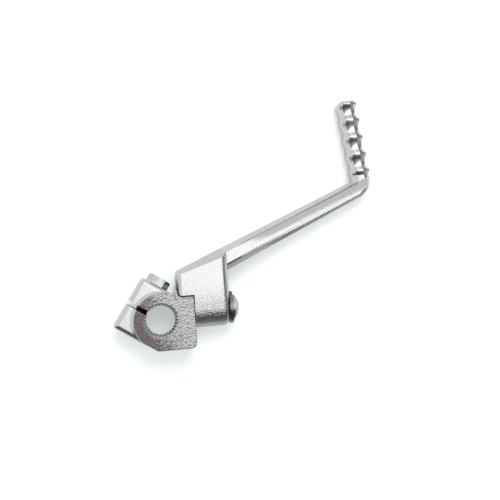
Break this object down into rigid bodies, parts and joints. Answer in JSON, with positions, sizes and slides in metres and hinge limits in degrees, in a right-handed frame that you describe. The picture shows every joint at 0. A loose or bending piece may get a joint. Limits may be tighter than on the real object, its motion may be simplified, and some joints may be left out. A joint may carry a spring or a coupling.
{
  "type": "kick start lever",
  "caption": "Folding kick start lever: splined clamp hub with a pinch bolt, and a cast arm with tapered rod and ridged pedal that swings on a pivot stub.",
  "frame": {"origin": "centre of the splined bore, halfway along it", "axes": "+Z along the bore axis towards the outer side, +X along the fold pivot from the hub to the screw, +Y the way the folded pedal points"},
  "size_m": [0.1386, 0.123, 0.0192],
  "materials": {
    "hub_plating": "bright plating over grainy cast steel",
    "arm_plating": "bright plating, grainy on the boss and smooth on the rod and pedal",
    "bolt_steel": "bright zinc",
    "washer_zinc": "yellow zinc",
    "screw_zinc": "bright zinc",
    "detent_steel": "polished"
  },
  "bodies": {
    "hub": {"hub": "hub_plating", "clamp_bolt": "bolt_steel", "pivot_washer": "washer_zinc", "pivot_screw": "screw_zinc", "detent_spring": "detent_steel"},
    "arm": {"arm": "arm_plating"},
    "ball": {"detent_ball": "detent_steel"}
  },
  "joints": [
    {"name": "arm_fold", "type": "hinge", "parent": "hub", "child": "arm", "pos_m": [0.0166, 0.00375, 0], "axis": [1, 0, 0], "range_deg": [0, 74]},
    {"name": "ball_press", "type": "slide", "parent": "hub", "child": "ball", "axis": [0, 0, -1], "range_m": [0, 0.0003], "stiffness_N_per_m": 4000, "springref_m": 0.0015, "deforming": ["detent_spring"]}
  ]
}
